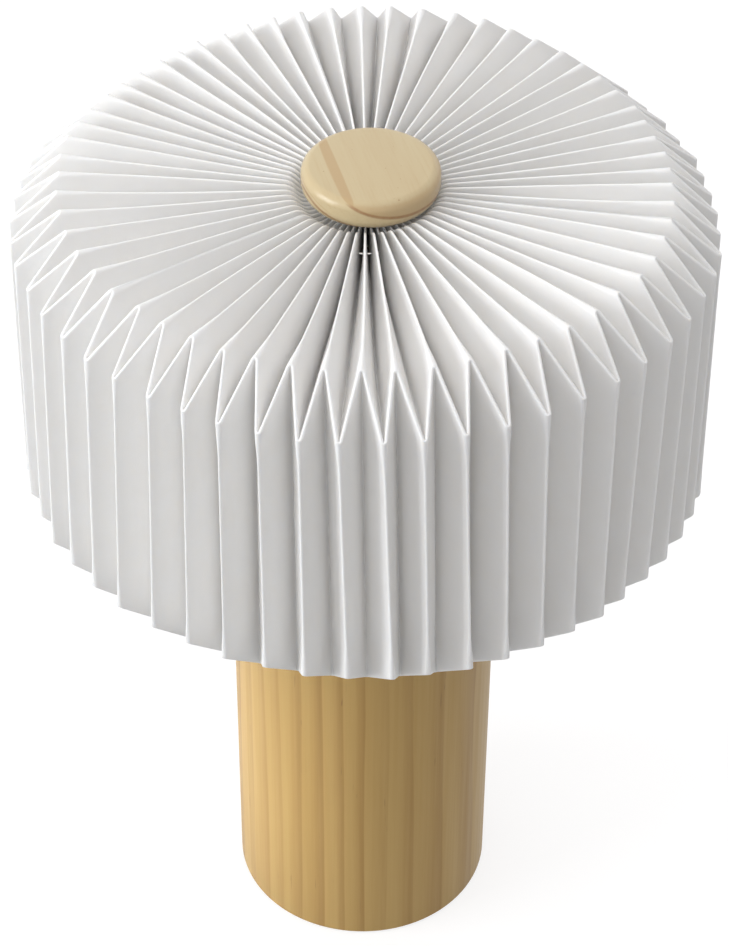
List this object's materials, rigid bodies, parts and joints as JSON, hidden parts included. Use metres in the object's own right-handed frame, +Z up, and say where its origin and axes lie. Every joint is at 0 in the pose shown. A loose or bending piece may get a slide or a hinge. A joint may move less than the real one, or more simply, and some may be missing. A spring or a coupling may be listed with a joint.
{
  "type": "pleated paper table lamp",
  "caption": "Table lamp with a turned wooden cylinder base, a wire carrier, a reverse-folded pleated paper drum shade and a round wooden knob that screws it down.",
  "frame": {"origin": "on the floor under the centre of the base", "axes": "+Z up along the base's axis, -Y to the front of the picture, +Y to the cord inlet"},
  "size_m": [0.2511, 0.2509, 0.3555],
  "materials": {
    "pine": "satin",
    "knob_pine": "satin",
    "felt": "matte",
    "white_paper": "matte",
    "white_plastic": "satin",
    "white_steel": "satin",
    "zinc_steel": "satin",
    "tie_wire": "gloss",
    "porcelain": "satin",
    "brass": "satin",
    "opal_glass": "satin",
    "bulb_plastic": "satin",
    "bulb_aluminium": "satin",
    "dark_glass": "gloss",
    "solder": "satin",
    "fibre": "matte"
  },
  "bodies": {
    "base": {"base_block": "pine", "base_felt": "felt", "inlet_bush": "white_plastic", "threaded_tube": "zinc_steel", "tube_washer": "zinc_steel", "tube_nut": "zinc_steel", "holder_plate": "zinc_steel", "holder_cap": "white_plastic", "holder_grub_screw": "zinc_steel", "holder_skirt": "white_plastic", "socket_block": "porcelain", "terminal_screws": "brass", "socket_screw_shell": "brass", "socket_contact_spring": "brass", "shade_ring_nut": "white_plastic", "carrier_ring": "white_steel", "carrier_legs": "white_steel", "hub_plate": "white_steel", "hub_stud": "zinc_steel", "hub_nuts": "zinc_steel"},
    "bulb_contact": {"bulb_tip": "solder"},
    "bulb": {"bulb_globe": "opal_glass", "bulb_collar": "bulb_plastic", "bulb_cap": "bulb_aluminium", "bulb_insulator": "dark_glass"},
    "shade_seat": {"seat_washer": "fibre"},
    "shade": {"shade_sheet_front": "white_paper", "shade_sheet_right": "white_paper", "shade_sheet_left": "white_paper", "seam_tabs": "white_paper", "tie_ring": "tie_wire"},
    "knob_washer": {"knob_washer": "zinc_steel"},
    "knob": {"knob": "knob_pine", "knob_insert": "brass"}
  },
  "joints": [
    {"name": "shade_lift", "type": "slide", "parent": "base", "child": "shade_seat", "axis": [0, 0, 1], "range_m": [0, 0.13]},
    {"name": "shade_turn", "type": "hinge", "parent": "shade_seat", "child": "shade", "pos_m": [0.0016, -0.0008, 0.3221], "axis": [0, 0, 1], "continuous": true},
    {"name": "knob_rise", "type": "slide", "parent": "shade", "child": "knob_washer", "axis": [0, 0, 1], "range_m": [0, 0.0091]},
    {"name": "knob_turn", "type": "hinge", "parent": "knob_washer", "child": "knob", "pos_m": [0.0016, -0.0008, 0.3405], "axis": [0, 0, 1], "range_deg": [0, 3240]},
    {"name": "bulb_rise", "type": "slide", "parent": "base", "child": "bulb_contact", "axis": [0, 0, 1], "range_m": [0, 0.0182]},
    {"name": "bulb_turn", "type": "hinge", "parent": "bulb_contact", "child": "bulb", "pos_m": [0, 0, 0.2107], "axis": [0, 0, 1], "range_deg": [0, 1800]}
  ],
  "couplings": [
    {"joint": "knob_rise", "follows": "knob_turn", "m_per_rad": 0.00015915},
    {"joint": "bulb_rise", "follows": "bulb_turn", "m_per_rad": 0.00057757}
  ]
}
